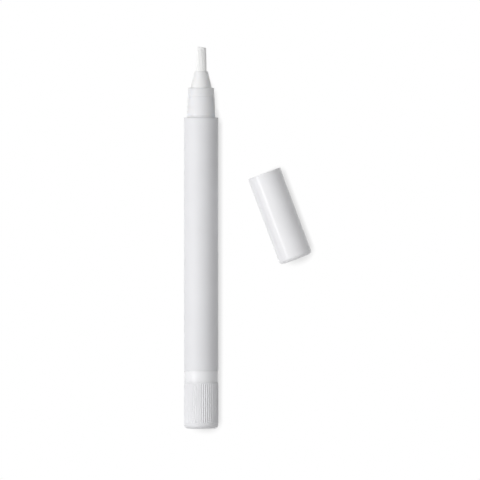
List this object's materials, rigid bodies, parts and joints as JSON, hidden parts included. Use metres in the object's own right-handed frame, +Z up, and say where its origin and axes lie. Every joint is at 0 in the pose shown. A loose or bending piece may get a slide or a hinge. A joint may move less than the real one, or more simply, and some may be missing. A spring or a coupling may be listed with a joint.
{
  "type": "nail oil pen",
  "caption": "Slim twist pen that feeds nail oil to a brush tip, with a ribbed twist knob and a plain round cap lying beside it.",
  "frame": {"origin": "centre of the whole object's footprint, on the surface that the pen and cap lie on", "axes": "+Y along the pen from the knob to the brush, +X towards the cap lying beside it, +Z up"},
  "size_m": [0.0447, 0.1335, 0.012],
  "materials": {
    "satin_white_plastic": "satin white, smooth",
    "gloss_white_plastic": "high gloss white",
    "natural_white_plastic": "matte, slightly translucent white",
    "inner_plastic": "natural moulded plastic",
    "screw_plastic": "natural moulded plastic",
    "piston_plastic": "soft translucent plastic",
    "seal_rubber": "matte black rubber",
    "ferrule_steel": "bright stainless steel",
    "bristle_nylon": "fine pale nylon filaments"
  },
  "bodies": {
    "pen": {"barrel": "satin_white_plastic", "collar_ring": "gloss_white_plastic", "guide_sleeve": "inner_plastic", "ratchet_ring": "inner_plastic", "rod_nut": "inner_plastic", "neck": "natural_white_plastic", "neck_seal": "seal_rubber", "nozzle_cone": "natural_white_plastic", "feed_tube": "inner_plastic", "brush_ferrule": "ferrule_steel", "bristles": "bristle_nylon"},
    "knob": {"knob_shell": "satin_white_plastic", "knob_core": "inner_plastic", "drive_tube": "inner_plastic", "click_pawls": "inner_plastic"},
    "rod": {"screw_rod": "screw_plastic"},
    "piston": {"piston": "piston_plastic", "piston_seal": "seal_rubber"},
    "cap": {"cap_shell": "gloss_white_plastic", "cap_liner": "inner_plastic"}
  },
  "joints": [
    {"name": "knob_twist", "type": "hinge", "parent": "pen", "child": "knob", "pos_m": [-0.01628, -0.0586, 0.006], "axis": [0, 1, 0], "range_deg": [0, 6480], "deforming": ["click_pawls"]},
    {"name": "rod_advance", "type": "slide", "parent": "knob", "child": "rod", "axis": [0, 1, 0], "range_m": [0, 0.036]},
    {"name": "piston_advance", "type": "slide", "parent": "pen", "child": "piston", "axis": [0, 1, 0], "range_m": [0, 0.036]},
    {"name": "cap_swing", "type": "hinge", "parent": "pen", "child": "cap", "pos_m": [-0.00994, 0.04615, 0.006], "axis": [0, 0, 1], "range_deg": [0, 159.48]}
  ],
  "couplings": [
    {"joint": "knob_twist", "follows": "rod_advance", "rad_per_m": 3141.6},
    {"joint": "piston_advance", "follows": "rod_advance", "ratio": 1}
  ]
}
